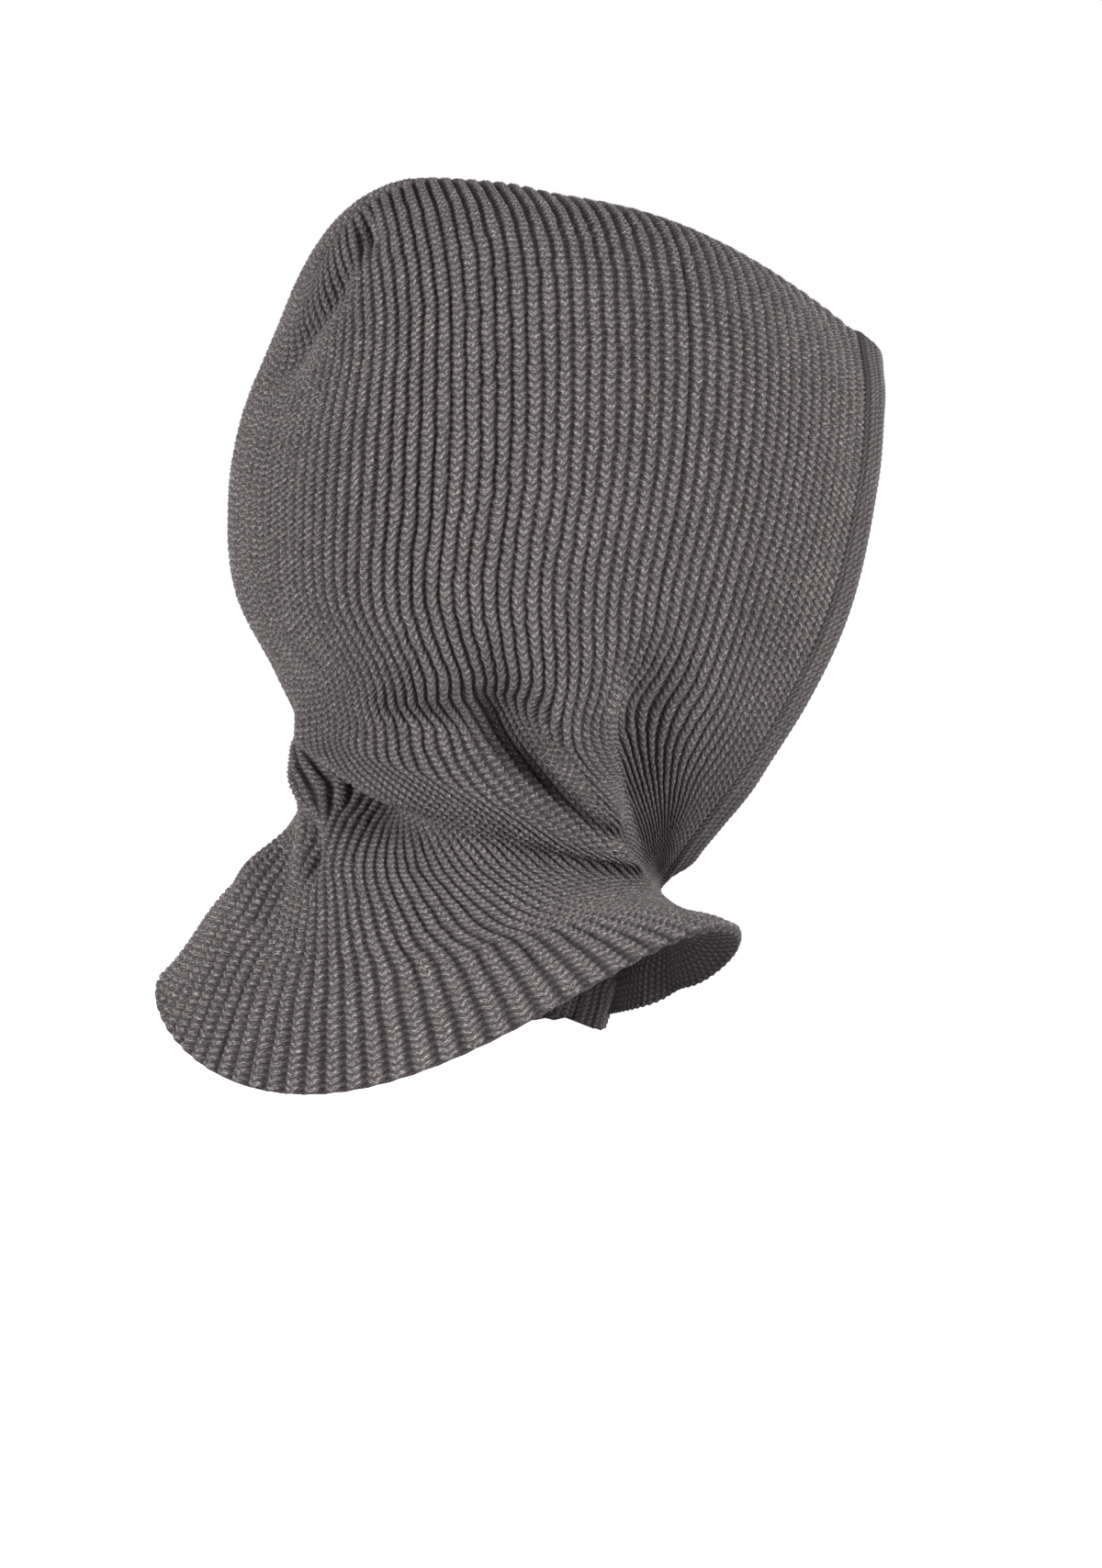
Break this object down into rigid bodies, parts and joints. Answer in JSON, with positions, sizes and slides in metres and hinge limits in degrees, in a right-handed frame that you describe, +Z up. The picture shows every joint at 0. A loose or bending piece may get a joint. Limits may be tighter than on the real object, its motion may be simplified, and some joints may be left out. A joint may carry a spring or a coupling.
{
  "type": "knitted balaclava hood",
  "caption": "A chunky ribbed knit hood worn over head and neck, with a folded face band, soft neck folds and a flared collar.",
  "frame": {"origin": "where the top of the wearer's head touches the inside of the crown", "axes": "+Z up the head, -Y out of the face opening, -X the wearer's right"},
  "size_m": [0.2342, 0.294, 0.3594],
  "materials": {
    "hood_knit": "matte",
    "band_knit": "matte"
  },
  "bodies": {
    "root": {"hood_body": "hood_knit", "face_band": "band_knit"}
  },
  "joints": []
}
